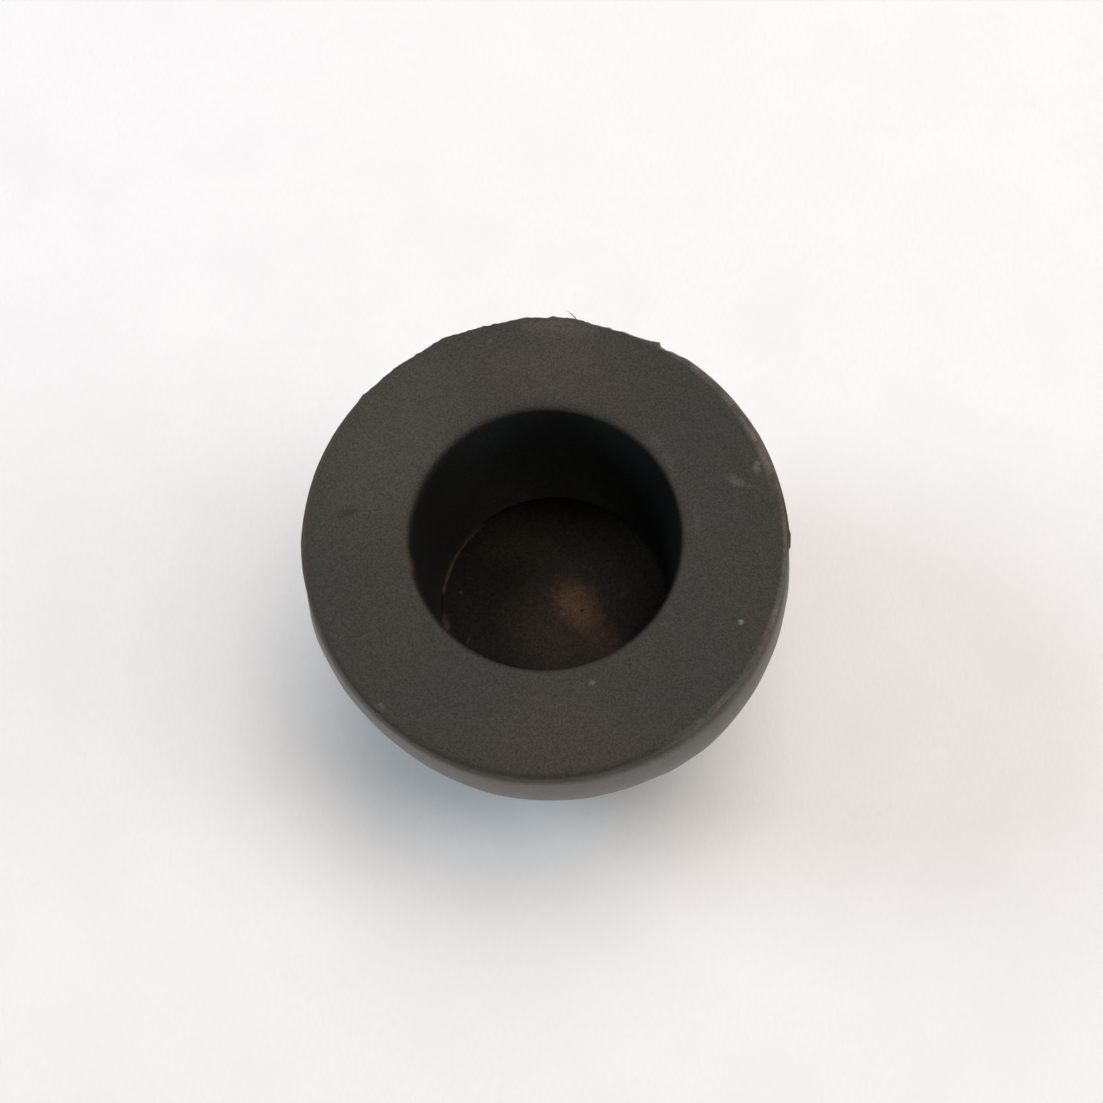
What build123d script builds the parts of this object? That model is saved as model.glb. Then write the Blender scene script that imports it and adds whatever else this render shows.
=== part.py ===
"""A moulded rubber cap: one thick-walled body with a blind bore, standing mouth up on its foot.

The outside is a squat barrel that closes in to a small flat foot. The flat rim round the bore has
a rounded edge. Under that edge, round the back half, is the thin flash that the mould left at its
parting line. It was trimmed by hand, so its outline runs in short straight cuts, and some of them
went into the rounded edge as well. Millimetres, +Z up, origin at the middle of the foot.
"""
from build123d import *

import os
from math import cos, hypot, radians, sin, tan

# Outside of the body
height = 20.5
widest_d = 26.0
widest_drop = 4.2
rim_closes_in = 0.45
rim_edge_r = 0.37
lower_side_r = 34.0
foot_d = 8.0

# Blind bore
bore_d = 14.0
bore_depth = 16.5
mouth_edge_r = 0.42
floor_bevel = 0.3

# Flash at the parting line, and the knife that trimmed it
flash_thickness = 0.15
flash_root = 0.6
knife_lean = 24.0
knife_clearance = 1.0

# Outline of the flash, each place as angle from +X and distance outside the parting line. It starts
# in a burr on the right, follows an arc, then straight knife cuts round the back, and a last arc.
right_burr = [(-4.0, -0.30), (-2.0, 0.17), (1.0, 0.19)]
right_arc = [(2.5, 0.09), (27.5, 0.00), (53.0, -0.15)]
left_arc = [(143.0, 0.04), (163.0, 0.16), (184.0, 0.20)]
left_end = (192.0, -0.30)
knife_corners = [
    (60.0, -0.37),
    (61.7, -0.20),
    (63.5, -0.35),
    (79.0, -0.38),
    (83.0, -0.18),
    (88.2, -0.11),
    (90.0, -0.24),
    (95.0, -0.13),
    (106.0, -0.22),
    (116.5, -0.03),
    (121.0, -0.12),
    (140.5, 0.09),
]

# The parting line: where the rounded edge of the rim meets the side
parting_r = widest_d / 2 - rim_closes_in
parting_z = height - rim_edge_r


def on_circle(radius, angle):
    """The point at that radius and angle round the axis."""
    return (radius * cos(radians(angle)), radius * sin(radians(angle)))


def towards(centre, radius, target):
    """The point of a circle that lies in the direction of the target."""
    across = target[0] - centre[0]
    up = target[1] - centre[1]
    share = radius / hypot(across, up)
    return (centre[0] + share * across, centre[1] + share * up)


def make_body():
    """Turn the outside from a half section whose arcs run into each other."""
    widest_r = widest_d / 2
    widest_z = height - widest_drop
    foot_r = foot_d / 2

    # Upper side: upright at the widest place and through the parting line
    rise = parting_z - widest_z
    upper_side_r = (rise**2 + rim_closes_in**2) / (2 * rim_closes_in)
    upper_centre = (widest_r - upper_side_r, widest_z)
    upper_middle = towards(upper_centre, upper_side_r, (parting_r, widest_z + rise / 2))

    # Shoulder: touches both the lower side and the plane of the foot
    lower_centre = (widest_r - lower_side_r, widest_z)
    reach = foot_r - lower_centre[0]
    shoulder_r = (lower_side_r**2 - reach**2 - widest_z**2) / (2 * (lower_side_r - widest_z))
    shoulder_centre = (foot_r, shoulder_r)
    join = towards(lower_centre, lower_side_r, shoulder_centre)
    lower_middle = towards(lower_centre, lower_side_r, (widest_r, (widest_z + join[1]) / 2))
    shoulder_middle = towards(shoulder_centre, shoulder_r, (join[0], 0))

    face_r = parting_r - rim_edge_r

    outline = [
        Line((0, height), (face_r, height)),
        CenterArc((face_r, parting_z), rim_edge_r, 0, 90),
        ThreePointArc((parting_r, parting_z), upper_middle, (widest_r, widest_z)),
        ThreePointArc((widest_r, widest_z), lower_middle, join),
        ThreePointArc(join, shoulder_middle, (foot_r, 0)),
        Line((foot_r, 0), (0, 0)),
        Line((0, 0), (0, height)),
    ]
    return revolve(Plane.XZ * make_face(outline), Axis.Z)


def make_bore():
    """Turn the hollow: rounded mouth, straight wall, small bevel round a flat floor."""
    bore_r = bore_d / 2
    floor_z = height - bore_depth
    mouth_r = bore_r + mouth_edge_r
    wall_top_z = height - mouth_edge_r
    floor_r = bore_r - floor_bevel
    wall_foot_z = floor_z + floor_bevel

    outline = [
        Line((0, height), (mouth_r, height)),
        CenterArc((mouth_r, wall_top_z), mouth_edge_r, 90, 90),
        Line((bore_r, wall_top_z), (bore_r, wall_foot_z)),
        Line((bore_r, wall_foot_z), (floor_r, floor_z)),
        Line((floor_r, floor_z), (0, floor_z)),
        Line((0, floor_z), (0, height)),
    ]
    return revolve(Plane.XZ * make_face(outline), Axis.Z)


def trimmed_edges(level):
    """The trimmed outline at a level, right to left round the back. The blade leaned in upwards."""
    lean_in = (level - parting_z) * tan(radians(knife_lean))

    def corner(place):
        return on_circle(parting_r + place[1] - lean_in, place[0])

    right = [corner(place) for place in right_arc]
    left = [corner(place) for place in left_arc]
    cuts = [corner(place) for place in knife_corners]
    return [
        ThreePointArc(*right),
        Polyline(right[-1], *cuts, left[0]),
        ThreePointArc(*left),
    ]


def make_flash():
    """The trimmed flash: a thin sheet rooted in the body just under the parting line."""
    edges = trimmed_edges(parting_z)
    burr = [on_circle(parting_r + proud, angle) for angle, proud in right_burr]
    end = on_circle(parting_r + left_end[1], left_end[0])
    root_r = parting_r - flash_root
    root_start = on_circle(root_r, left_end[0])
    root_middle = on_circle(root_r, (left_end[0] + right_burr[0][0]) / 2)
    root_end = on_circle(root_r, right_burr[0][0])
    outline = [
        Polyline(*burr, edges[0] @ 0),
        *edges,
        Polyline(edges[-1] @ 1, end, root_start),
        ThreePointArc(root_start, root_middle, root_end),
        Line(root_end, burr[0]),
    ]
    return Pos(0, 0, parting_z) * extrude(make_face(outline), -flash_thickness)


def make_shavings():
    """What the knife took off the rounded edge: all that lies outside its leaning cuts."""
    clear_r = widest_d / 2 + knife_clearance
    first_angle = right_arc[0][0]
    last_angle = left_arc[-1][0]
    deepest = min(proud for angle, proud in knife_corners)
    low = parting_z - (rim_closes_in - deepest) / tan(radians(knife_lean))
    high = height + knife_clearance
    sections = []
    for level in (low, high):
        edges = trimmed_edges(level)
        outer_start = on_circle(clear_r, last_angle)
        outer_middle = on_circle(clear_r, (first_angle + last_angle) / 2)
        outer_end = on_circle(clear_r, first_angle)
        outline = [
            *edges,
            Line(edges[-1] @ 1, outer_start),
            ThreePointArc(outer_start, outer_middle, outer_end),
            Line(outer_end, edges[0] @ 0),
        ]
        sections.append(Plane.XY.offset(level) * make_face(outline))
    return loft(sections, ruled=True)


rubber_cap = make_body() - make_shavings() + make_flash() - make_bore()

os.makedirs("parts", exist_ok=True)
export_step(rubber_cap, "parts/rubber_cap.step")
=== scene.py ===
"""A black rubber cap standing mouth up on white paper, seen from nearly straight above.

The cap is one moulding, so it is one mesh: a section turned round the axis, whose upper edge
follows the knife that trimmed the flash. The lengths are millimetres, as on a drawing, and MM
turns them into the frame's metres. Angles are degrees from +X.
"""
from math import cos, exp, hypot, pi, radians, sin, tan

import bpy
from mathutils import Matrix, Vector, noise


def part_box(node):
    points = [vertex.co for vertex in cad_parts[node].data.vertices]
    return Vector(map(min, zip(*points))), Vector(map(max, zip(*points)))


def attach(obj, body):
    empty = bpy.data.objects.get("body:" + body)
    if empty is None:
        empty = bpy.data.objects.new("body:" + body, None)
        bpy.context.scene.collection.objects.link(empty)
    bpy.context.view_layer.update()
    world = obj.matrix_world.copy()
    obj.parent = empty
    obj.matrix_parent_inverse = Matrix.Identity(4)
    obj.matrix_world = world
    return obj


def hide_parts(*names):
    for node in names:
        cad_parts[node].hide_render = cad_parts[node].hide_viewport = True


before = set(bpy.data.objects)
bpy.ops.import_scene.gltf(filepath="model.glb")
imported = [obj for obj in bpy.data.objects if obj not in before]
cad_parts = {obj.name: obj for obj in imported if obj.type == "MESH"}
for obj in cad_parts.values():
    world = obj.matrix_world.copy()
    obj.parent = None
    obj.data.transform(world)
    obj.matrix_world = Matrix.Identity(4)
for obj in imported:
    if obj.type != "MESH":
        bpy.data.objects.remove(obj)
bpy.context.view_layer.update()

MM = 0.001
FULL_TURN = 360.0

# Outside of the body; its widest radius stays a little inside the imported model's
low_corner, high_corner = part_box("rubber_cap")
HEIGHT = (high_corner.z - low_corner.z) / MM
PARTING_R = 12.55
RIM_CLOSES_IN = 0.43
WIDEST_R = PARTING_R + RIM_CLOSES_IN
WIDEST_Z = HEIGHT - 4.2
RIM_EDGE_R = 0.37
PARTING_Z = HEIGHT - RIM_EDGE_R
LOWER_SIDE_R = 34.0
FOOT_R = 4.0

# Soft rubber isn't quite round: angle, and how far the widest part stands out there
OUT_OF_ROUND = [
    (0, 0.0), (183, 0.0), (191, 0.10), (200, 0.19), (212, 0.09), (225, 0.0), (234, -0.04),
    (245, -0.01), (258, 0.02), (270, 0.01), (282, 0.06), (294, 0.12), (303, 0.26), (312, 0.34),
    (324, 0.30), (336, 0.22), (348, 0.11), (360, 0.0),
]

# Blind bore
BORE_R = 7.0
BORE_FLOOR_Z = HEIGHT - 16.5
MOUTH_EDGE_R = 0.42
MOUTH_WIDER = 0.06         # how much wider than that the rounding is at the sides
MOUTH_WIDER_BACK = 0.13    # and how much wider still at the back, and narrower in front
MOUTH_OVAL = 0.11          # and wider again both at the back and in front
FLOOR_ROUND = 0.3
PIP_CENTRE = (0.5, 0.1)    # the low swelling that the core pin left in the middle of the floor
PIP_HEIGHT = 0.14
PIP_R = 2.4

# Flash at the parting line, and the knife that trimmed it
FLASH_THICKNESS = 0.15
KNIFE_LEAN = radians(24.0)
# The trimmed outline, as angle and distance outside the parting line. Between the two stretches
# that were left as moulded it runs in straight cuts.
TRIMMED_EDGE = [
    (-3.4, 0.00), (-2.0, 0.14), (1.0, 0.17), (2.3, 0.10), (14.0, 0.03), (27.0, 0.01),
    (38.0, -0.10), (53.0, -0.14), (60.6, -0.40), (61.2, -0.12), (62.4, -0.20), (63.5, -0.34),
    (71.0, -0.40), (79.0, -0.36), (83.0, -0.18), (86.5, -0.20), (88.2, -0.11), (90.0, -0.24), (95.0, -0.13),
    (106.0, -0.22), (116.5, -0.03), (121.0, -0.12), (131.0, -0.04), (139.0, 0.00), (141.0, 0.10),
    (143.5, 0.04), (153.0, 0.11), (163.0, 0.16), (173.0, 0.17), (181.0, 0.20), (188.0, 0.15),
    (196.0, 0.06), (203.0, 0.00),
]
MOULDED_STRETCHES = ((2.3, 53.0), (143.5, 203.0))
RAGGED_STRETCH = (56.0, 142.0)
RAGGEDNESS = 0.06
RAG_ANGLE = 1.3            # degrees from one tear to the next
RAG_ROW = 3.1              # which row of the noise the tears and the teeth follow
TOOTH_ROW = 8.4
TOOTH_FROM = 0.2
LIP_SLOPE = 0.25           # how much the flash's lip falls back from its middle

# Small nicks in the rim's edge: angle, half width in degrees, depth
NICKS = [(275.7, 1.0, 0.09), (228.0, 1.0, 0.16), (252.0, 0.8, 0.05), (310.0, 0.9, 0.06)]
NICK_REACH = 0.6           # how far down the side a nick runs out

# A hair of rubber standing off the flash, from its root to its tip
HAIR = [(1.62, 12.10, 20.08), (1.50, 12.36, 20.10), (1.30, 12.55, 20.13), (1.07, 12.70, 20.20)]
HAIR_R = 0.035
HAIR_TAPER = 0.6
HAIR_SIDES = 6

# Slow unevenness of the skin: over about this size, up to about this amount
FLOOR_WAVE = (1.8, 0.02)
WALL_WAVE = (3.0, 0.02)
FACE_WAVE = (2.4, 0.012)
EDGE_WAVE = (1.2, 0.03)
SIDE_WAVE = (3.5, 0.02)
FACE_SINK = 0.012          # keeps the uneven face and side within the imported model's size
SIDE_SINK = 0.01

# Mesh
COLUMNS = 576
FEWEST_COLUMNS = 18
NARROWEST_FACE = 0.12
SHARP_FROM = radians(38)
SAME_POINT = 1e-4
FLOOR_STEPS = 24
CORNER_STEPS = 7
WALL_STEPS = 14
MOUTH_STEPS = 9
FACE_STEPS = 14
EDGE_STEPS = 10
LIP_SHARES = (0.12, 0.5, 0.88)
UPPER_STEPS = 8
UPPER_CROWDING = 1.3       # crowds the rings towards the flash
LOWER_STEPS = 18
SHOULDER_STEPS = 16
SHOULDER_CROWDING = 1.7    # crowds the rings towards the foot
FOOT_STEPS = 6


# Camera

def make_camera():
    """The photograph's camera: nearly above, a little on the near side, three widths away."""
    frame_px = 1103
    focal_px = 1600.0
    rim_scale = 19.30          # pixels for one millimetre at the rim
    rim_centre_px = (544.77, 535.96)
    axis_lean = Vector((0.0328, 0.2676, 1.0))   # the cap's axis in the camera's x, y down, depth

    into_body = axis_lean.normalized()
    part_x = Vector((0, 1, 0)).cross(into_body).normalized()
    part_minus_y = into_body.cross(part_x)
    right = Vector((part_x.x, -part_minus_y.x, -into_body.x))
    down = Vector((part_x.y, -part_minus_y.y, -into_body.y))
    ahead = Vector((part_x.z, -part_minus_y.z, -into_body.z))

    middle = frame_px / 2
    across = (rim_centre_px[0] - middle) / rim_scale
    below = (rim_centre_px[1] - middle) / rim_scale
    depth = focal_px / rim_scale
    place = Vector((0, 0, HEIGHT)) - across * right - below * down - depth * ahead

    data = bpy.data.cameras.new("photo_camera")
    data.sensor_width = 36.0
    data.lens = data.sensor_width * focal_px / frame_px
    data.clip_start = 0.001
    data.clip_end = 50.0
    camera = bpy.data.objects.new("photo_camera", data)
    bpy.context.collection.objects.link(camera)
    turn = Matrix((right, -down, -ahead)).transposed()
    camera.matrix_world = Matrix.Translation(place * MM) @ turn.to_4x4()
    bpy.context.scene.camera = camera


# The cap's section

def arc_points(centre, radius, start, end, steps):
    """Points on an arc in the section plane, both ends included."""
    angles = [radians(start + (end - start) * step / steps) for step in range(steps + 1)]
    return [(centre[0] + radius * cos(a), centre[1] + radius * sin(a)) for a in angles]


def line_points(start, end, steps):
    """Points on a straight line in the section plane, both ends included."""
    across, up = end[0] - start[0], end[1] - start[1]
    shares = [step / steps for step in range(steps + 1)]
    return [(start[0] + across * share, start[1] + up * share) for share in shares]


def upper_side_r(z):
    """Radius of the outside between the widest place and the parting line."""
    rise = PARTING_Z - WIDEST_Z
    arc = (rise**2 + RIM_CLOSES_IN**2) / (2 * RIM_CLOSES_IN)
    return WIDEST_R - arc + (arc**2 - (z - WIDEST_Z)**2) ** 0.5


def lower_side_r(z):
    """Radius of the outside between the widest place and the shoulder."""
    return WIDEST_R - LOWER_SIDE_R + (LOWER_SIDE_R**2 - (z - WIDEST_Z)**2) ** 0.5


def shoulder_arc():
    """Radius of the shoulder's arc, and the level where it meets the lower side."""
    reach = FOOT_R - WIDEST_R + LOWER_SIDE_R
    radius = (LOWER_SIDE_R**2 - reach**2 - WIDEST_Z**2) / (2 * (LOWER_SIDE_R - WIDEST_Z))
    up = radius - WIDEST_Z
    return radius, WIDEST_Z + LOWER_SIDE_R * up / hypot(reach, up)


def hollow():
    """The bore's floor, its round corner, the wall and the mouth, as (points, band) runs."""
    floor_r = BORE_R - FLOOR_ROUND
    wall_foot = BORE_FLOOR_Z + FLOOR_ROUND
    wall_top = HEIGHT - MOUTH_EDGE_R
    innermost = (floor_r / FLOOR_STEPS, BORE_FLOOR_Z)
    mouth_centre = (BORE_R + MOUTH_EDGE_R, wall_top)
    return [
        (line_points(innermost, (floor_r, BORE_FLOOR_Z), FLOOR_STEPS - 1), "floor"),
        (arc_points((floor_r, wall_foot), FLOOR_ROUND, -90, 0, CORNER_STEPS), "floor"),
        (line_points((BORE_R, wall_foot), (BORE_R, wall_top), WALL_STEPS), "wall"),
        (arc_points(mouth_centre, MOUTH_EDGE_R, 180, 90, MOUTH_STEPS), "mouth"),
    ]


def rim():
    """The flat face, its rounded edge, and the flash's lip, which trimmed_radius lays out."""
    mouth_r = BORE_R + MOUTH_EDGE_R
    face_r = PARTING_R - RIM_EDGE_R
    lip = [(PARTING_R, PARTING_Z - share * FLASH_THICKNESS) for share in LIP_SHARES]
    return [
        (line_points((mouth_r, HEIGHT), (face_r, HEIGHT), FACE_STEPS), "face"),
        (arc_points((face_r, PARTING_Z), RIM_EDGE_R, 90, 0, EDGE_STEPS), "edge"),
        (lip, "flash"),
    ]


def outside():
    """The side from under the flash down to the foot, and the foot's flat."""
    under_z = PARTING_Z - FLASH_THICKNESS
    fall = WIDEST_Z - under_z
    upper = [under_z + fall * (step / UPPER_STEPS) ** UPPER_CROWDING for step in range(UPPER_STEPS + 1)]

    shoulder_r, shoulder_z = shoulder_arc()
    lower = [z for r, z in line_points((0, WIDEST_Z), (0, shoulder_z), LOWER_STEPS)]
    steps = range(SHOULDER_STEPS + 1)
    shoulder = [shoulder_z * (1 - step / SHOULDER_STEPS) ** SHOULDER_CROWDING for step in steps]
    return [
        ([(upper_side_r(z), z) for z in upper], "side"),
        ([(lower_side_r(z), z) for z in lower], "side"),
        ([(FOOT_R + (shoulder_r**2 - (shoulder_r - z)**2) ** 0.5, z) for z in shoulder], "side"),
        (line_points((FOOT_R, 0), (FOOT_R / FOOT_STEPS, 0), FOOT_STEPS - 1), "foot"),
    ]


def section():
    """The section from the bore's floor out to the foot, as (radius, level, band) rows."""
    rows = []
    for points, band in hollow() + rim() + outside():
        for r, z in points:
            if not rows or hypot(rows[-1][0] - r, rows[-1][1] - z) > SAME_POINT:
                rows.append((r, z, band))
    return rows


# The knife's outline

def knife_radius(angle, z):
    """Distance from the axis to the knife's cut at an angle and level, or None where it never cut."""
    turn = (angle + 90.0) % FULL_TURN - 90.0
    lean_in = (z - PARTING_Z) * tan(KNIFE_LEAN)
    for (a0, proud0), (a1, proud1) in zip(TRIMMED_EDGE, TRIMMED_EDGE[1:]):
        if a0 <= turn <= a1:
            r0 = PARTING_R + proud0 - lean_in
            r1 = PARTING_R + proud1 - lean_in
            if any(start <= a0 and a1 <= end for start, end in MOULDED_STRETCHES):
                return r0 + (r1 - r0) * (turn - a0) / (a1 - a0)
            before = sin(radians(turn - a0))
            after = sin(radians(a1 - turn))
            straight = r0 * r1 * sin(radians(a1 - a0)) / (r0 * before + r1 * after)
            return straight + raggedness(turn)
    return None


def raggedness(turn):
    """How far the torn rubber stands in or out of a straight cut at an angle."""
    if not RAGGED_STRETCH[0] < turn < RAGGED_STRETCH[1]:
        return 0.0
    torn = noise.noise(Vector((turn / RAG_ANGLE, RAG_ROW, 0)))
    tooth = max(0.0, noise.noise(Vector((turn / (RAG_ANGLE / 2), TOOTH_ROW, 0))) - TOOTH_FROM)
    return RAGGEDNESS * (torn + tooth)


def trimmed_radius(angle, r, z, band):
    """Where a point of the section lies once the flash is there and the knife has passed."""
    cut = knife_radius(angle, z)
    if band == "flash":
        side = upper_side_r(z)
        if cut is None:
            return side
        lip = cut - LIP_SLOPE * abs(z - (PARTING_Z - FLASH_THICKNESS / 2))
        return max(side, lip) if cut > side else cut
    if cut is None or band not in ("edge", "side", "face"):
        return r
    return min(r, cut)


def column_angles():
    """Even angles round the axis, the nearest ones moved onto the knife's corners."""
    angles = [FULL_TURN * k / COLUMNS for k in range(COLUMNS)]
    for corner, proud in TRIMMED_EDGE:
        angles[round(corner / FULL_TURN * COLUMNS) % COLUMNS] = corner % FULL_TURN
    return angles


# What isn't quite round or flat

def between(knots, angle):
    """The value at an angle, running smoothly from knot to knot."""
    for (a0, v0), (a1, v1) in zip(knots, knots[1:]):
        if a0 <= angle <= a1:
            share = (1 - cos(pi * (angle - a0) / (a1 - a0))) / 2
            return v0 + (v1 - v0) * share
    return knots[-1][1]


def bulge(angle, z):
    """How far the side stands out of round: most at the widest level, nothing at rim and foot."""
    if z > WIDEST_Z:
        share = 1 - ((z - WIDEST_Z) / (PARTING_Z - WIDEST_Z)) ** 2
    else:
        share = sin(pi / 2 * z / WIDEST_Z)
    return max(0.0, share) * between(OUT_OF_ROUND, angle)


def mouth_shift(angle, r, band):
    """The mouth's rounding is wider at the back, and the rim's face makes room for it."""
    back = sin(radians(angle))
    wider = MOUTH_WIDER + MOUTH_WIDER_BACK * back + MOUTH_OVAL * back**2
    if band == "mouth":
        return wider * (r - BORE_R) / MOUTH_EDGE_R
    face_r = PARTING_R - RIM_EDGE_R
    return wider * (face_r - r) / (face_r - BORE_R - MOUTH_EDGE_R)


def nick_depth(angle):
    """Depth of the nick at an angle, if there is one."""
    for middle, half_width, depth in NICKS:
        off = abs(angle - middle) / half_width
        if off < 1:
            return depth * (1 - off**2)
    return 0.0


def wave(spot, size, amount):
    """Slow unevenness of the skin at a point."""
    return amount * noise.noise(spot / size)


def pip(spot):
    """Height of the swelling in the middle of the bore's floor at a point."""
    off = hypot(spot.x - PIP_CENTRE[0], spot.y - PIP_CENTRE[1]) / PIP_R
    return PIP_HEIGHT * exp(-off**2)


def skin_point(angle, r, z, band):
    """A point of the section turned to its angle, with all that isn't quite round or flat."""
    a = radians(angle)
    spot = Vector((r * cos(a), r * sin(a), z))
    if band == "floor":
        z += pip(spot) + wave(spot, *FLOOR_WAVE)
    elif band == "wall":
        r += wave(spot, *WALL_WAVE)
    elif band in ("mouth", "face"):
        r += mouth_shift(angle, r, band)
        z -= FACE_SINK + wave(spot, *FACE_WAVE)
    elif band == "edge":
        r -= nick_depth(angle) + max(0.0, wave(spot, *EDGE_WAVE))
        z -= FACE_SINK + wave(spot, *FACE_WAVE)
    elif band == "side":
        r += bulge(angle, z) - SIDE_SINK + wave(spot, *SIDE_WAVE)
        r -= nick_depth(angle) * max(0.0, 1 - (PARTING_Z - z) / NICK_REACH)
    radius = trimmed_radius(angle, r, z, band)
    return Vector((radius * cos(a), radius * sin(a), z))


# Mesh

def make_cap():
    """One closed mesh: rings of the section, with fewer and fewer columns towards the axis."""
    angles = column_angles()
    points = []
    rings = []
    for r, z, band in section():
        count = COLUMNS
        if band in ("floor", "foot"):
            while count > FEWEST_COLUMNS and 2 * pi * r / count < NARROWEST_FACE:
                count //= 2
        start = len(points)
        points += [skin_point(angle, r, z, band) for angle in angles[::COLUMNS // count]]
        rings.append(list(range(start, len(points))))

    faces = []
    for inner, outer in zip(rings, rings[1:]):
        faces += stitch(inner, outer)
    faces += fan(points, rings[0], Vector((0, 0, points[rings[0][0]].z)), False)
    faces += fan(points, rings[-1], Vector((0, 0, 0)), True)
    add_hair(points, faces)

    mesh = bpy.data.meshes.new("rubber_cap_skin")
    mesh.from_pydata([tuple(point * MM) for point in points], [], faces)
    mesh.validate()
    for polygon in mesh.polygons:
        polygon.use_smooth = True
    mesh.set_sharp_from_angle(angle=SHARP_FROM)
    cap = bpy.data.objects.new("rubber_cap_skin", mesh)
    bpy.context.collection.objects.link(cap)
    return cap


def fan(points, ring, spot, flip):
    """Triangles from a ring to a new point in its middle."""
    middle = len(points)
    points.append(spot)
    after = ring[1:] + ring[:1]
    return [(middle, b, a) if flip else (middle, a, b) for a, b in zip(ring, after)]


def stitch(inner, outer):
    """Faces between two rings, where one may have twice or four times as many points."""
    if len(inner) == len(outer):
        inner_after, outer_after = inner[1:] + inner[:1], outer[1:] + outer[:1]
        return list(zip(inner, outer, outer_after, inner_after))
    fine_outside = len(outer) > len(inner)
    coarse, fine = (inner, outer) if fine_outside else (outer, inner)
    ratio = len(fine) // len(coarse)
    half = ratio // 2
    faces = []
    for k, start in enumerate(coarse):
        end = coarse[(k + 1) % len(coarse)]
        run = [fine[(k * ratio + j) % len(fine)] for j in range(ratio + 1)]
        faces += [(start, run[j], run[j + 1]) for j in range(half)]
        faces.append((start, run[half], end))
        faces += [(end, run[j], run[j + 1]) for j in range(half, ratio)]
    return faces if fine_outside else [tuple(reversed(face)) for face in faces]


def add_hair(points, faces):
    """A thin tapering hair along its own few points, closed at both ends."""
    spine = [Vector(spot) for spot in HAIR]
    rings = []
    for k, spot in enumerate(spine[:-1]):
        along = (spine[k + 1] - spine[max(0, k - 1)]).normalized()
        across = along.cross(Vector((0, 0, 1))).normalized()
        up = across.cross(along)
        size = HAIR_R * (1 - HAIR_TAPER * k / (len(spine) - 1))
        start = len(points)
        for side in range(HAIR_SIDES):
            turn = 2 * pi * side / HAIR_SIDES
            points.append(spot + size * (cos(turn) * across + sin(turn) * up))
        rings.append(list(range(start, len(points))))
    for near, far in zip(rings, rings[1:]):
        faces += stitch(near, far)
    faces += fan(points, rings[0], spine[0], False)
    faces += fan(points, rings[-1], spine[-1], True)


# Colours of the rubber

GREEN_GREY = (0.0348, 0.0346, 0.0290, 1)
RED_BROWN = (0.0388, 0.0336, 0.0270, 1)
# Paler patches on the right of the rim's edge, speckled pale and green-grey
RIGHT_EDGE_PALE = (0.112, 0.093, 0.080, 1)
RIGHT_EDGE_GREEN = (0.088, 0.088, 0.073, 1)
# The side's own brownish skin, painted paler as a sheen of the white paper seen at a grazing angle
SIDE_SKIN_AND_SHEEN = (0.078, 0.066, 0.052, 1)
FOOT_DUST = (0.110, 0.098, 0.082, 1)
# The bore's colours are painted light and shade: each side of the wall lighter or darker as the light falls
# into the bore, the deep back wall painted much paler than the rubber, the floor painted dark as shade
BORE_BACK_SHADING = (0.036, 0.039, 0.038, 1)
BORE_LEFT_SHADING = (0.013, 0.012, 0.011, 1)
BORE_RIGHT_SHADING = (0.007, 0.007, 0.007, 1)
DEEP_BACK_SHADING = (0.230, 0.228, 0.218, 1)
DEEP_LEFT_SHADING = (0.056, 0.050, 0.043, 1)
DEEP_RIGHT_SHADING = (0.036, 0.036, 0.036, 1)
BORE_FLOOR_SHADE = (0.0170, 0.0165, 0.0150, 1)
# Painted highlights along the corner of the bore's floor, where its rounding catches the light: brown-tinted
# on the left, faint on the right
CORNER_HIGHLIGHT = (0.112, 0.080, 0.054, 1)
FAINT_CORNER_HIGHLIGHT = (0.060, 0.056, 0.052, 1)

# Size of what the rubber's skin shows, and how high its relief stands
GRAIN_SIZE = 0.11
GRAIN_HEIGHT = 0.010
CLOUD_SIZE = 0.55
CLOUD_HEIGHT = 0.030
DRIFT_SIZE = 5.0
STREAK_SIZE = 0.5
STREAK_LENGTHENING = 0.12      # share of the level that the streaks' noise sees
RIGHT_EDGE_PATCH_SIZE = 2.2
RIGHT_EDGE_SPECK_SIZE = 0.9
FOOT_DUST_SIZE = 0.7
CORNER_HIGHLIGHT_BREAK_SIZE = 0.8
MARK_EDGE_SIZE = 0.45          # unevenness of the marks' edges
MARK_SMOOTH_FROM = 0.8         # marks longer than this have smoother edges
MARK_DEPTH = 1.5               # how far up and down a mark reaches
TURNING_MIDDLE = (1.71, -0.22, 0)
TURNING_PITCH = 0.42
TURNING_HEIGHT = 0.0008

# From this level down the bore's wall goes over from its near painted shading to its deep painted shading
WALL_DEEPENS_FROM = HEIGHT - 3.0

# Gloss: dusty and matt on the rim, smoother on the moulded side, dull in the bore
RIM_ROUGHNESS = 0.80
SIDE_ROUGHNESS = 0.50
ROUGHNESS_SPREAD = 0.07
RIM_SPECULAR = 0.20
SIDE_SPECULAR = 0.50
BORE_SPECULAR_LOSS = 0.17
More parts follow.
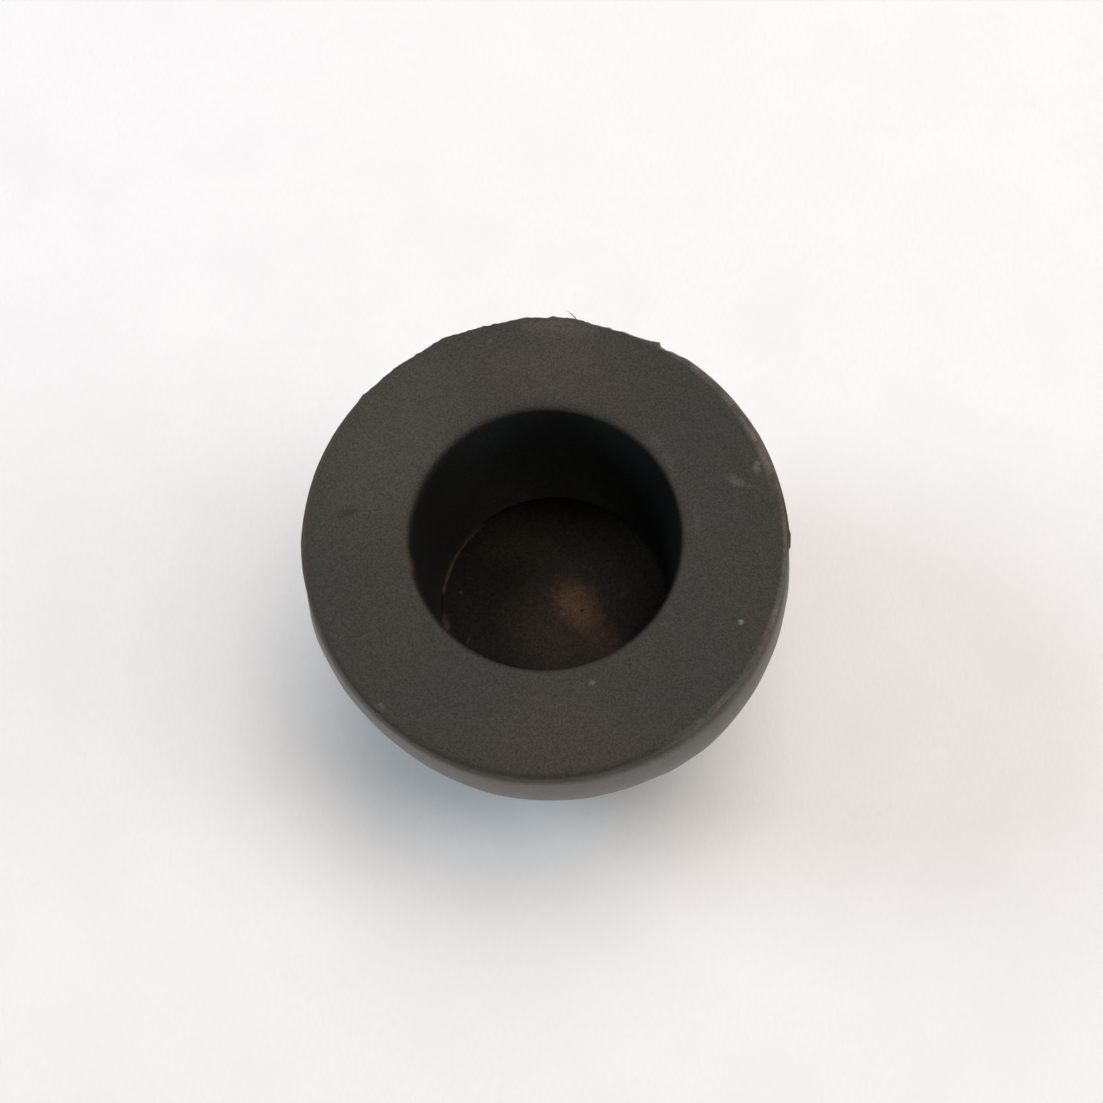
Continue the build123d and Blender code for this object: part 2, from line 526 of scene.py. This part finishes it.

# Marks on the rubber, some of them painted light: middle, half length, half width, turn, how strong, colour
MARKS = {
    "brown_haze_back": ((0.5, 9.8, 20.5), 6.5, 4.0, 0, 0.55, (0.056, 0.046, 0.037, 1)),
    "brown_haze_front": ((1.0, -10.0, 20.5), 5.5, 3.6, 0, 0.55, (0.049, 0.039, 0.031, 1)),
    # Paler on the left of the face: partly its own green-grey tone, partly a painted sheen
    "tone_and_sheen_left": ((-8.0, 5.5, 20.5), 9.0, 5.0, 60, 0.70, (0.054, 0.051, 0.041, 1)),
    "haze_back_edge": ((0.8, 11.7, 20.5), 3.2, 0.9, -3, 0.70, (0.074, 0.062, 0.052, 1)),
    "dark_smudge": ((-10.3, 1.3, 20.5), 0.85, 0.45, 25, 0.45, (0.010, 0.010, 0.009, 1)),
    "scuff_right": ((9.9, 3.0, 20.5), 0.95, 0.34, -20, 0.60, (0.085, 0.088, 0.076, 1)),
    "scuff_right_outer": ((11.05, 3.75, 20.5), 0.55, 0.28, 105, 0.65, (0.110, 0.108, 0.090, 1)),
    "scuff_mouth_back": ((5.75, 5.2, 20.5), 0.75, 0.45, 130, 0.42, (0.066, 0.070, 0.062, 1)),
    "scuff_mouth_side": ((6.5, 4.0, 20.5), 0.80, 0.35, 120, 0.40, (0.066, 0.070, 0.058, 1)),
    "scuff_mouth_right": ((7.9, 0.6, 20.5), 1.5, 0.35, 95, 0.35, (0.056, 0.058, 0.050, 1)),
    "dot_green": ((10.03, -4.55, 20.5), 0.20, 0.17, 0, 0.90, (0.120, 0.150, 0.120, 1)),
    "dot_pink": ((2.51, -7.71, 20.5), 0.26, 0.16, 10, 0.80, (0.120, 0.095, 0.090, 1)),
    "dot_back": ((-3.04, 10.85, 20.5), 0.26, 0.20, 40, 0.60, (0.085, 0.082, 0.058, 1)),
    "dot_left": ((-9.93, 2.72, 20.5), 0.20, 0.17, 0, 0.60, (0.078, 0.062, 0.052, 1)),
    "dot_left_low": ((-11.0, -4.4, 20.5), 0.14, 0.12, 0, 0.60, (0.080, 0.075, 0.066, 1)),
    "scuff_front_left": ((-8.2, -9.0, 20.4), 0.45, 0.30, 40, 0.65, (0.085, 0.082, 0.070, 1)),
    "brown_mouth_left": ((-6.95, -1.4, 20.1), 0.80, 0.50, 100, 0.55, (0.070, 0.046, 0.028, 1)),
    # Painted light on the bore's floor: paler at the back and the right, a warm painted glow right of the
    # middle, and a painted highlight with a streak running to the front right
    "floor_far_painted_light": ((-1.4, 4.6, 4.0), 4.8, 2.8, 12, 0.90, (0.042, 0.040, 0.036, 1)),
    "floor_right_painted_light": ((4.0, 3.5, 4.0), 7.5, 6.0, 30, 0.90, (0.064, 0.067, 0.068, 1)),
    "floor_warm_painted_glow": ((1.2, -1.6, 4.0), 5.6, 4.8, -20, 0.95, (0.0500, 0.0435, 0.0370, 1)),
    "floor_painted_highlight_streak": ((2.7, -1.7, 4.0), 3.0, 1.4, -50, 0.70, (0.078, 0.064, 0.051, 1)),
    "floor_painted_highlight_peak": ((1.4, 0.25, 4.0), 2.4, 1.8, -50, 0.90, (0.145, 0.108, 0.078, 1)),
    "floor_dot": ((1.71, -0.22, 4.1), 0.20, 0.15, 20, 0.80, (0.020, 0.018, 0.016, 1)),
    "floor_spot": ((-5.8, 0.98, 4.0), 0.20, 0.16, 0, 0.50, (0.060, 0.058, 0.050, 1)),
    "floor_line": ((-5.3, -2.1, 4.0), 0.45, 0.09, 70, 0.55, (0.060, 0.046, 0.032, 1)),
    "side_scuff_front": ((-4.6, -12.0, 13.0), 0.9, 0.5, 20, 0.50, (0.105, 0.098, 0.084, 1)),
    "side_scuff_left": ((-12.2, 2.6, 10.5), 0.4, 1.1, 0, 0.45, (0.100, 0.092, 0.078, 1)),
    "side_scuff_back": ((3.4, 11.9, 8.5), 1.3, 0.5, -15, 0.45, (0.095, 0.085, 0.070, 1)),
    "side_smudge_right": ((11.6, -4.6, 9.0), 0.9, 1.6, 20, 0.50, (0.020, 0.019, 0.018, 1)),
    "side_dot_front": ((3.9, -12.3, 15.0), 0.25, 0.25, 0, 0.80, (0.130, 0.120, 0.100, 1)),
    # painted highlight in the floor's corner on the left, below the gap
    "corner_highlight_low_left": ((-6.7, -1.1, 4.0), 0.9, 0.35, 95, 0.85, (0.080, 0.050, 0.030, 1)),
}


# Nodes

class Tree:
    """A material's nodes, with short calls for the few kinds that are used here."""

    def __init__(self, name):
        self.material = bpy.data.materials.new(name)
        self.material.use_nodes = True
        self.nodes = self.material.node_tree.nodes
        self.nodes.clear()

    def fill(self, socket, value):
        """Link another node's output to the socket, or write a number or colour into it."""
        if isinstance(value, bpy.types.NodeSocket):
            self.material.node_tree.links.new(value, socket)
        else:
            socket.default_value = value

    def add(self, kind, inputs, **settings):
        """A new node, with values for its named or numbered inputs."""
        node = self.nodes.new(kind)
        for name, value in settings.items():
            setattr(node, name, value)
        for name, value in inputs.items():
            self.fill(node.inputs[name], value)
        return node

    def object_place(self):
        """The point being shaded, in millimetres."""
        place = self.nodes.new("ShaderNodeTexCoord").outputs["Object"]
        inputs = {"Vector": place, "Scale": 1 / MM}
        return self.add("ShaderNodeVectorMath", inputs, operation="SCALE").outputs["Vector"]

    def math(self, operation, one, other):
        return self.add("ShaderNodeMath", {0: one, 1: other}, operation=operation).outputs[0]

    def both(self, one, other):
        """The share that is left where both shares hold."""
        return self.math("MULTIPLY", one, other)

    def other_than(self, share):
        return self.math("SUBTRACT", 1.0, share)

    def step(self, value, start, end, low=0.0, high=1.0):
        """From low where the value is at start to high where it is at end, smoothly."""
        inputs = {"Value": value, "From Min": start, "From Max": end, "To Min": low, "To Max": high}
        return self.add("ShaderNodeMapRange", inputs, interpolation_type="SMOOTHSTEP").outputs[0]

    def vector(self, operation, one, other):
        inputs = {0: one, 1: other}
        return self.add("ShaderNodeVectorMath", inputs, operation=operation).outputs["Vector"]

    def length(self, vector):
        return self.add("ShaderNodeVectorMath", {0: vector}, operation="LENGTH").outputs["Value"]

    def scaled(self, vector, share):
        inputs = {"Vector": vector, "Scale": share}
        return self.add("ShaderNodeVectorMath", inputs, operation="SCALE").outputs["Vector"]

    def speckle(self, place, size, detail=2.0, roughness=0.5):
        """Noise whose lumps are about this size."""
        inputs = {"Vector": place, "Scale": 1 / size, "Detail": detail, "Roughness": roughness}
        return self.add("ShaderNodeTexNoise", inputs).outputs["Fac"]

    def blend(self, share, one, other):
        """The first colour where the share is 0 and the second where it is 1."""
        mix = self.nodes.new("ShaderNodeMix")
        mix.data_type = "RGBA"
        sockets = {socket.identifier: socket for socket in mix.inputs}
        self.fill(sockets["Factor_Float"], share)
        self.fill(sockets["A_Color"], one)
        self.fill(sockets["B_Color"], other)
        outputs = {socket.identifier: socket for socket in mix.outputs}
        return outputs["Result_Color"]

    def bump(self, height, stands_up, normal=None):
        """A bump whose height 1 stands that many millimetres up."""
        inputs = {"Height": height, "Distance": stands_up * MM, "Strength": 1.0}
        if normal:
            inputs["Normal"] = normal
        return self.add("ShaderNodeBump", inputs).outputs["Normal"]

    def patch(self, place, middle, long, wide, turn, uneven):
        """A soft uneven spot of that size round a point."""
        inputs = {"Vector": place, "Location": middle, "Rotation": (0, 0, radians(turn)),
                  "Scale": (long, wide, MARK_DEPTH)}
        local = self.add("ShaderNodeMapping", inputs, vector_type="TEXTURE").outputs["Vector"]
        off = self.math("ADD", self.length(local), uneven)
        return self.step(off, 1.0, 0.15)

    def output(self, shader):
        self.add("ShaderNodeOutputMaterial", {"Surface": shader.outputs[0]})
        return self.material


class Rubber(Tree):
    """The rubber's nodes: where on the cap a point lies, then the colour, gloss and relief there."""

    def __init__(self):
        super().__init__("rubber")
        self.place = self.object_place()
        self.level = self.add("ShaderNodeSeparateXYZ", {"Vector": self.place}).outputs["Z"]
        flat = self.vector("MULTIPLY", self.place, (1, 1, 0))
        self.radius = self.length(flat)
        self.outward = self.add("ShaderNodeVectorMath", {0: flat}, operation="NORMALIZE").outputs["Vector"]

        inside = self.step(self.radius, BORE_R + 0.30, BORE_R)
        self.in_bore = self.both(inside, self.step(self.level, 2.4, 3.0))
        below = self.step(self.level, HEIGHT - 0.12, HEIGHT - 0.40)
        self.below_rim = self.both(below, self.other_than(self.in_bore))
        low_down = self.step(self.level, BORE_FLOOR_Z + 0.5, BORE_FLOOR_Z + 0.2)
        self.on_floor = self.both(low_down, self.in_bore)

        self.grain = self.speckle(self.place, GRAIN_SIZE, 2.0, 0.6)
        self.clouds = self.speckle(self.place, CLOUD_SIZE, 3.0, 0.6)

    def facing(self, angle, inner, outer):
        """1 within the inner angle of that direction, 0 beyond the outer one."""
        direction = (cos(radians(angle)), sin(radians(angle)), 0)
        inputs = {0: self.outward, 1: direction}
        along = self.add("ShaderNodeVectorMath", inputs, operation="DOT_PRODUCT").outputs["Value"]
        return self.step(along, cos(radians(outer)), cos(radians(inner)))

    def skin(self):
        """The moulded skin: drifting hues, browner and faintly streaked on the side, where it is also
        painted paler as a sheen, dusty at the foot.
        """
        drift = self.step(self.speckle(self.place, DRIFT_SIZE, 1.5, 0.4), 0.38, 0.66)
        colour = self.blend(drift, GREEN_GREY, RED_BROWN)
        # The side is painted paler than the rim: its own skin colour plus a painted sheen
        colour = self.blend(self.both(self.below_rim, 0.75), colour, SIDE_SKIN_AND_SHEEN)

        drawn_out = self.vector("MULTIPLY", self.place, (1, 1, STREAK_LENGTHENING))
        streaks = self.speckle(drawn_out, STREAK_SIZE, 3.0, 0.6)
        streaked = self.scaled(colour, self.step(streaks, 0.25, 0.75, 0.93, 1.07))
        colour = self.blend(self.below_rim, colour, streaked)

        dust = self.step(self.speckle(self.place, FOOT_DUST_SIZE, 4.0, 0.65), 0.40, 0.70)
        dusty_foot = self.both(self.step(self.level, 0.9, 0.0), dust)
        return self.blend(self.both(dusty_foot, 0.6), colour, FOOT_DUST)

    def wall(self, back, left, right):
        """The wall's painted light and shade at one depth, from its back, left and right sides."""
        colour = self.blend(self.facing(185, 20, 80), back, left)
        return self.blend(self.facing(0, 20, 80), colour, right)

    def with_bore_shading(self, colour):
        """Lay the bore's wall and floor over the skin, with light and shade painted into their colours."""
        near = self.wall(BORE_BACK_SHADING, BORE_LEFT_SHADING, BORE_RIGHT_SHADING)
        deep = self.wall(DEEP_BACK_SHADING, DEEP_LEFT_SHADING, DEEP_RIGHT_SHADING)
        inputs = {"Value": self.level, "From Min": WALL_DEEPENS_FROM, "From Max": BORE_FLOOR_Z}
        depth = self.add("ShaderNodeMapRange", inputs).outputs[0]
        colour = self.blend(self.in_bore, colour, self.blend(self.both(depth, depth), near, deep))
        return self.blend(self.on_floor, colour, BORE_FLOOR_SHADE)

    def with_pale_right_edge(self, colour):
        """The rim's edge is paler on the right, in speckled pale and green-grey patches, and the flash
        outside it stays dark.
        """
        inside_flash = self.step(self.radius, PARTING_R + 0.04, PARTING_R - 0.10)
        no_flash = self.math("MAXIMUM", inside_flash, self.facing(-40, 30, 42))
        wide = self.step(self.radius, PARTING_R - 0.70, PARTING_R - 0.34)
        wide = self.both(wide, self.facing(40, 20, 32))
        narrow = self.step(self.radius, PARTING_R - 0.34, PARTING_R - 0.12)
        narrow = self.both(narrow, self.facing(-12, 42, 52))
        edge = self.both(self.math("MAXIMUM", wide, narrow), no_flash)
        edge = self.both(edge, self.step(self.level, HEIGHT - 0.9, HEIGHT - 0.3))

        patchy = self.step(self.speckle(self.place, RIGHT_EDGE_SPECK_SIZE, 3.0, 0.6), 0.30, 0.62, 0.35, 1.0)
        hue = self.step(self.speckle(self.place, RIGHT_EDGE_PATCH_SIZE), 0.42, 0.55)
        pale_colour = self.blend(hue, RIGHT_EDGE_PALE, RIGHT_EDGE_GREEN)
        return self.blend(self.both(edge, patchy), colour, pale_colour)

    def with_corner_highlight(self, colour):
        """A broken painted highlight, tinted brown, along the corner of the bore's floor, clearest on the
        left, and a faint one on the right.
        """
        corner = self.both(self.step(self.radius, BORE_R - 0.20, BORE_R - 0.08), self.in_bore)
        corner = self.both(corner, self.step(self.level, BORE_FLOOR_Z + 0.55, BORE_FLOOR_Z + 0.25))
        gap = self.facing(178, 3, 7)
        highlit = self.both(self.both(corner, self.facing(156, 14, 34)), self.other_than(gap))
        broken = self.step(self.speckle(self.place, CORNER_HIGHLIGHT_BREAK_SIZE, 2.0, 0.6), 0.30, 0.50, 0.35, 1.0)
        colour = self.blend(self.both(highlit, broken), colour, CORNER_HIGHLIGHT)
        faint = self.both(self.both(corner, self.facing(20, 14, 30)), 0.25)
        return self.blend(faint, colour, FAINT_CORNER_HIGHLIGHT)

    def with_marks(self, colour):
        """Lay the scuffs, smudges and spots, and the painted light and highlights on the bore's floor, over
        the colour, the large ones with smoother edges.
        """
        uneven = self.step(self.speckle(self.place, MARK_EDGE_SIZE, 3.0, 0.65), 0.25, 0.75, -0.35, 0.35)
        for middle, long, wide, turn, strength, mark in MARKS.values():
            edge = self.both(uneven, min(1.0, MARK_SMOOTH_FROM / long))
            spot = self.patch(self.place, middle, long, wide, turn, edge)
            colour = self.blend(self.both(spot, strength), colour, mark)
        return colour

    def with_grain(self, colour):
        """Fine grain and small clouds in the shade of the colour."""
        fine = self.step(self.grain, 0.25, 0.75, 0.66, 1.34)
        soft = self.step(self.clouds, 0.2, 0.8, 0.88, 1.12)
        return self.scaled(colour, self.both(fine, soft))

    def gloss(self):
        """The roughness and the specular level."""
        on_side = self.both(self.step(self.level, HEIGHT - 0.3, HEIGHT - 1.8), self.other_than(self.in_bore))
        roughness = self.math(
            "ADD", self.step(on_side, 0, 1, RIM_ROUGHNESS, SIDE_ROUGHNESS),
            self.step(self.clouds, 0, 1, -ROUGHNESS_SPREAD, ROUGHNESS_SPREAD))
        specular = self.math(
            "SUBTRACT", self.step(on_side, 0, 1, RIM_SPECULAR, SIDE_SPECULAR),
            self.step(self.in_bore, 0, 1, 0.0, BORE_SPECULAR_LOSS))
        return roughness, specular

    def relief(self):
        """Grain and slow unevenness, and the turning marks of the core pin in the bore's floor."""
        normal = self.bump(self.grain, GRAIN_HEIGHT)
        normal = self.bump(self.clouds, CLOUD_HEIGHT, normal)
        from_middle = self.vector("SUBTRACT", self.place, TURNING_MIDDLE)
        outward = self.length(self.vector("MULTIPLY", from_middle, (1, 1, 0)))
        turns = self.both(outward, 2 * pi / TURNING_PITCH)
        rings = self.add("ShaderNodeMath", {0: turns}, operation="SINE").outputs[0]
        return self.bump(self.both(rings, self.on_floor), TURNING_HEIGHT, normal)


def rubber_material():
    """Black rubber: a matt mottled rim, smoother sides, a bore painted dark as shade, with a painted glow
    and painted highlights on its floor.
    """
    rubber = Rubber()
    colour = rubber.skin()
    colour = rubber.with_bore_shading(colour)
    colour = rubber.with_pale_right_edge(colour)
    colour = rubber.with_corner_highlight(colour)
    colour = rubber.with_marks(colour)
    colour = rubber.with_grain(colour)
    roughness, specular = rubber.gloss()
    shader = rubber.add("ShaderNodeBsdfPrincipled", {
        "Base Color": colour,
        "Roughness": roughness,
        "Specular IOR Level": specular,
        "Normal": rubber.relief(),
    })
    return rubber.output(shader)


# Paper and backdrop

BACKDROP = (0.93, 0.93, 0.93, 1)
PAPER_LOW = (0.925, 0.925, 0.925, 1)
PAPER_HIGH = (0.955, 0.950, 0.950, 1)
FIBRE_SIZE = 0.22
FIBRE_LENGTHENING = 0.35       # share of the y place that the fibres' noise sees
FIBRE_HEIGHT = 0.012
PAPER_CLOUD_SIZE = 6.0
FADE_FROM = 75.0               # from here outwards the camera sees the backdrop's colour
FADE_TO = 260.0
FLOOR_HALF = 3.0               # in metres


def paper_material():
    """White paper with a faint fibre and a hardly visible cloudiness."""
    tree = Tree("paper")
    place = tree.object_place()
    drawn_out = tree.vector("MULTIPLY", place, (1.0, FIBRE_LENGTHENING, 1.0))
    fibre = tree.speckle(drawn_out, FIBRE_SIZE, 3.0, 0.6)
    cloud = tree.speckle(place, PAPER_CLOUD_SIZE, 2.0, 0.5)
    colour = tree.blend(tree.step(tree.both(fibre, cloud), 0.1, 0.4), PAPER_LOW, PAPER_HIGH)
    paper = tree.add("ShaderNodeBsdfDiffuse", {"Color": colour, "Normal": tree.bump(fibre, FIBRE_HEIGHT)})

    # Far off, where the lamps fade, the camera sees the ground as pale as the backdrop
    backdrop = tree.add("ShaderNodeEmission", {"Color": BACKDROP, "Strength": 1.0})
    seen = tree.nodes.new("ShaderNodeLightPath").outputs["Is Camera Ray"]
    far = tree.both(tree.step(tree.length(place), FADE_FROM, FADE_TO), seen)
    shader = tree.add("ShaderNodeMixShader", {0: far, 1: paper.outputs[0], 2: backdrop.outputs[0]})
    return tree.output(shader)


# Stage and light

def make_floor():
    """The white paper that the cap stands on, which isn't part of it."""
    corners = [(-FLOOR_HALF, -FLOOR_HALF, 0), (FLOOR_HALF, -FLOOR_HALF, 0),
               (FLOOR_HALF, FLOOR_HALF, 0), (-FLOOR_HALF, FLOOR_HALF, 0)]
    mesh = bpy.data.meshes.new("paper")
    mesh.from_pydata(corners, [], [(0, 1, 2, 3)])
    mesh.materials.append(paper_material())
    floor = bpy.data.objects.new("paper", mesh)
    bpy.context.collection.objects.link(floor)


# Window and ceiling light, as the shadows on the paper tell of it: azimuth, elevation, angular
# radius, the share of white that it gives level paper, and its colour
LAMPS = {
    "lamp_above": (52, 78, 14, 0.270, (1.0, 0.63, 0.39)),
    "lamp_back": (70, 64, 15, 0.230, (0.75, 0.88, 1.0)),
    "lamp_back_right": (10, 64, 14, 0.180, (1.0, 1.0, 0.95)),
    "lamp_back_left": (140, 70, 12, 0.065, (0.77, 0.85, 1.0)),
    "lamp_right": (0, 36, 14, 0.120, (0.85, 0.87, 1.0)),
    "lamp_left": (167, 36, 14, 0.225, (0.74, 0.87, 1.0)),
}
LAMP_DISTANCE = 0.5            # in metres
SURROUND = (0.92, 1.0, 0.90, 1)
SURROUND_STRENGTH = 0.13


def make_lamp(name, azimuth, elevation, radius, share, colour):
    """A round soft lamp that gives level paper this share of white."""
    a, e = radians(azimuth), radians(elevation)
    toward = Vector((cos(e) * cos(a), cos(e) * sin(a), sin(e)))
    data = bpy.data.lights.new(name, "AREA")
    data.shape = "DISK"
    data.size = 2 * LAMP_DISTANCE * tan(radians(radius))
    data.energy = pi * pi * share * LAMP_DISTANCE**2 / sin(e)
    data.color = colour
    lamp = bpy.data.objects.new(name, data)
    bpy.context.collection.objects.link(lamp)
    lamp.location = toward * LAMP_DISTANCE
    lamp.rotation_euler = toward.to_track_quat("Z", "Y").to_euler()


def make_world():
    """A dim even surround for the light, and a pale one where the camera or a reflection sees it."""
    world = bpy.data.worlds.new("studio")
    bpy.context.scene.world = world
    world.use_nodes = True
    nodes, links = world.node_tree.nodes, world.node_tree.links
    lit = nodes["Background"]
    lit.inputs["Color"].default_value = SURROUND
    lit.inputs["Strength"].default_value = SURROUND_STRENGTH
    seen = nodes.new("ShaderNodeBackground")
    seen.inputs["Color"].default_value = BACKDROP
    ray = nodes.new("ShaderNodeLightPath")
    either = ray.outputs["Is Camera Ray"]
    for kind in ("Is Glossy Ray", "Is Transmission Ray"):
        most = nodes.new("ShaderNodeMath")
        most.operation = "MAXIMUM"
        links.new(either, most.inputs[0])
        links.new(ray.outputs[kind], most.inputs[1])
        either = most.outputs[0]
    mix = nodes.new("ShaderNodeMixShader")
    links.new(either, mix.inputs["Fac"])
    links.new(lit.outputs[0], mix.inputs[1])
    links.new(seen.outputs[0], mix.inputs[2])
    links.new(mix.outputs[0], nodes["World Output"].inputs["Surface"])


make_camera()
cap = make_cap()
cap.data.materials.append(rubber_material())
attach(cap, "root")
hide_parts("rubber_cap")

make_floor()
for name, values in LAMPS.items():
    make_lamp(name, *values)
make_world()
bpy.context.scene.view_settings.view_transform = "Standard"
